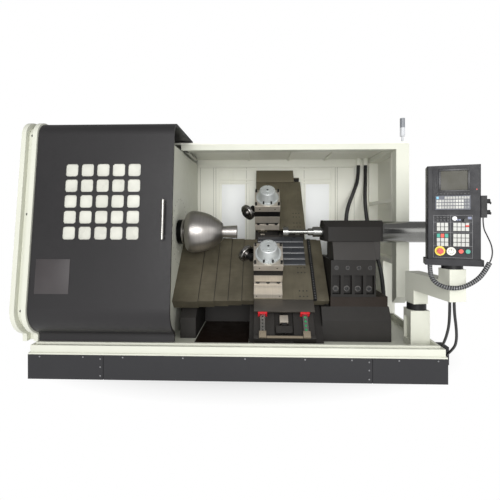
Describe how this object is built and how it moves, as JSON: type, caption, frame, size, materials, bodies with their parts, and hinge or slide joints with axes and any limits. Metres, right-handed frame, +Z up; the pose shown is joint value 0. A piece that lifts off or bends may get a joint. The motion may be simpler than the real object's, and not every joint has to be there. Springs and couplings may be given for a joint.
{
  "type": "cnc metal spinning machine",
  "caption": "CNC metal spinning lathe with a slant bed, two roller slides, bell mandrel, tailstock, sliding door and operator pendant.",
  "frame": {"origin": "centre of the plinth's underside, on the floor", "axes": "+X along the spindle to the tailstock end, +Y away from the operator, +Z up"},
  "size_m": [3.462, 1.905, 2.127],
  "materials": {
    "cream_paint": "painted satin",
    "dark_paint": "painted metallic",
    "plinth_paint": "painted satin",
    "pale_pane": "satin",
    "chrome": "polished",
    "turned_steel": "turned",
    "olive_sheet": "oiled",
    "ground_steel": "ground",
    "dome_aluminium": "satin",
    "black_steel": "blackened",
    "cast_black": "painted",
    "cast_brown": "oiled",
    "black_rubber": "matt",
    "pendant_plastic": "satin",
    "screen_glass": "glossy",
    "key_plastic": "satin",
    "red_plastic": "glossy",
    "green_plastic": "glossy",
    "lamp_plastic": "glossy"
  },
  "bodies": {
    "frame": {"plinth": "plinth_paint", "chip_tray": "cream_paint", "cabinet_walls": "cream_paint", "ceiling": "cream_paint", "front_frame": "cream_paint", "partition_wall": "cream_paint", "left_end_cap": "cream_paint", "headstock": "cast_brown", "spindle_bearings": "turned_steel", "drive_belt": "black_rubber", "spindle_motor": "cast_brown", "slant_bed": "cast_brown", "left_cover_1": "olive_sheet", "right_cover_outer": "olive_sheet", "tailstock": "cast_black", "feed_cylinder": "chrome", "conduit_left": "black_rubber", "conduit_right": "black_rubber", "pendant_post": "cream_paint", "signal_lamp": "lamp_plastic", "cable_left": "black_rubber", "cable_right": "black_rubber"},
    "door": {"door": "dark_paint", "door_panes": "pale_pane", "door_handle": "chrome"},
    "spindle": {"spindle": "turned_steel", "mandrel": "turned_steel"},
    "motor_pulley": {"motor_pulley": "turned_steel"},
    "carriage": {"saddle": "cast_black", "cross_rails": "turned_steel", "left_cover_5": "olive_sheet", "right_cover_inner": "olive_sheet", "bellows": "black_rubber"},
    "cross_screw": {"cross_screw": "turned_steel"},
    "cover_2": {"left_cover_2": "olive_sheet"},
    "cover_3": {"left_cover_3": "olive_sheet"},
    "cover_4": {"left_cover_4": "olive_sheet"},
    "lower_slide": {"lower_slide": "olive_sheet"},
    "upper_slide": {"upper_slide": "olive_sheet"},
    "lower_turret": {"lower_turret": "ground_steel", "lower_dome": "dome_aluminium", "lower_roller_arm": "black_steel"},
    "upper_turret": {"upper_turret": "ground_steel", "upper_dome": "dome_aluminium", "upper_roller_arm": "black_steel"},
    "lower_roller": {"lower_roller": "black_steel"},
    "upper_roller": {"upper_roller": "black_steel"},
    "quill": {"quill": "chrome"},
    "pusher": {"pusher_disc": "chrome"},
    "arm": {"pendant_arm": "cream_paint"},
    "pendant": {"pendant_case": "pendant_plastic", "pendant_screen": "screen_glass", "pendant_keys": "key_plastic", "curly_cord": "black_rubber", "hand_cord": "black_rubber"},
    "emergency_stop": {"emergency_stop": "red_plastic"},
    "stop_button": {"stop_button": "red_plastic"},
    "start_button": {"start_button": "green_plastic"},
    "feed_dial": {"feed_dial": "key_plastic"},
    "mode_selector": {"mode_selector": "pendant_plastic"}
  },
  "joints": [
    {"name": "door_slide", "type": "slide", "parent": "frame", "child": "door", "axis": [1, 0, 0], "range_m": [0, 0.99]},
    {"name": "spindle_spin", "type": "hinge", "parent": "frame", "child": "spindle", "pos_m": [0, -0.218, 1.085], "axis": [1, 0, 0], "continuous": true},
    {"name": "motor_spin", "type": "hinge", "parent": "frame", "child": "motor_pulley", "pos_m": [-1.12, 0.25, 0.42], "axis": [1, 0, 0], "continuous": true},
    {"name": "carriage_slide", "type": "slide", "parent": "frame", "child": "carriage", "axis": [1, 0, 0], "range_m": [-0.2, 0.03]},
    {"name": "cover_2_slide", "type": "slide", "parent": "frame", "child": "cover_2", "axis": [1, 0, 0], "range_m": [-0.05, 0.0075]},
    {"name": "cover_3_slide", "type": "slide", "parent": "frame", "child": "cover_3", "axis": [1, 0, 0], "range_m": [-0.1, 0.015]},
    {"name": "cover_4_slide", "type": "slide", "parent": "frame", "child": "cover_4", "axis": [1, 0, 0], "range_m": [-0.15, 0.0225]},
    {"name": "lower_cross_slide", "type": "slide", "parent": "carriage", "child": "lower_slide", "axis": [0, 0.7071, 0.7071], "range_m": [-0.1, 0.05], "deforming": ["bellows"]},
    {"name": "upper_cross_slide", "type": "slide", "parent": "carriage", "child": "upper_slide", "axis": [0, 0.7071, 0.7071], "range_m": [-0.05, 0.05]},
    {"name": "cross_screw_spin", "type": "hinge", "parent": "carriage", "child": "cross_screw", "pos_m": [0.3795, -0.02284, 0.88984], "axis": [0, 0.7071, 0.7071], "continuous": true},
    {"name": "lower_turret_index", "type": "hinge", "parent": "lower_slide", "child": "lower_turret", "pos_m": [0.255, -0.30851, 0.69468], "axis": [0, -0.7071, 0.7071], "continuous": true},
    {"name": "upper_turret_index", "type": "hinge", "parent": "upper_slide", "child": "upper_turret", "pos_m": [0.255, 0.17232, 1.17551], "axis": [0, -0.7071, 0.7071], "continuous": true},
    {"name": "lower_roller_spin", "type": "hinge", "parent": "lower_turret", "child": "lower_roller", "pos_m": [0.071, -0.39478, 0.90822], "axis": [-0.7071, 0.5, 0.5], "continuous": true},
    {"name": "upper_roller_spin", "type": "hinge", "parent": "upper_turret", "child": "upper_roller", "pos_m": [0.071, -0.04122, 1.26178], "axis": [-0.7071, -0.5, -0.5], "continuous": true},
    {"name": "quill_slide", "type": "slide", "parent": "frame", "child": "quill", "axis": [1, 0, 0], "range_m": [-0.395, 0.06]},
    {"name": "pusher_spin", "type": "hinge", "parent": "quill", "child": "pusher", "pos_m": [0, -0.218, 1.085], "axis": [1, 0, 0], "continuous": true},
    {"name": "arm_swing", "type": "hinge", "parent": "frame", "child": "arm", "pos_m": [1.44, -0.515, 0.53], "axis": [0, 0, 1], "range_deg": [-25, 60]},
    {"name": "pendant_swivel", "type": "hinge", "parent": "arm", "child": "pendant", "pos_m": [1.507, -0.937, 0.885], "axis": [0, 0, 1], "range_deg": [-40, 60]},
    {"name": "emergency_stop_press", "type": "slide", "parent": "pendant", "child": "emergency_stop", "axis": [0.309, 0.9511, 0], "range_m": [0, 0.005]},
    {"name": "stop_button_press", "type": "slide", "parent": "pendant", "child": "stop_button", "axis": [0.309, 0.9511, 0], "range_m": [0, 0.005]},
    {"name": "start_button_press", "type": "slide", "parent": "pendant", "child": "start_button", "axis": [0.309, 0.9511, 0], "range_m": [0, 0.005]},
    {"name": "feed_dial_turn", "type": "hinge", "parent": "pendant", "child": "feed_dial", "pos_m": [1.46825, -0.99801, 0.982], "axis": [0.309, 0.9511, 0], "range_deg": [-140, 140]},
    {"name": "mode_selector_turn", "type": "hinge", "parent": "pendant", "child": "mode_selector", "pos_m": [1.55099, -1.0249, 1.188], "axis": [0.309, 0.9511, 0], "range_deg": [-60, 60]}
  ],
  "couplings": [
    {"joint": "motor_spin", "follows": "spindle_spin", "ratio": 1.7333},
    {"joint": "cover_2_slide", "follows": "carriage_slide", "ratio": 0.25},
    {"joint": "cover_3_slide", "follows": "carriage_slide", "ratio": 0.5},
    {"joint": "cover_4_slide", "follows": "carriage_slide", "ratio": 0.75}
  ]
}
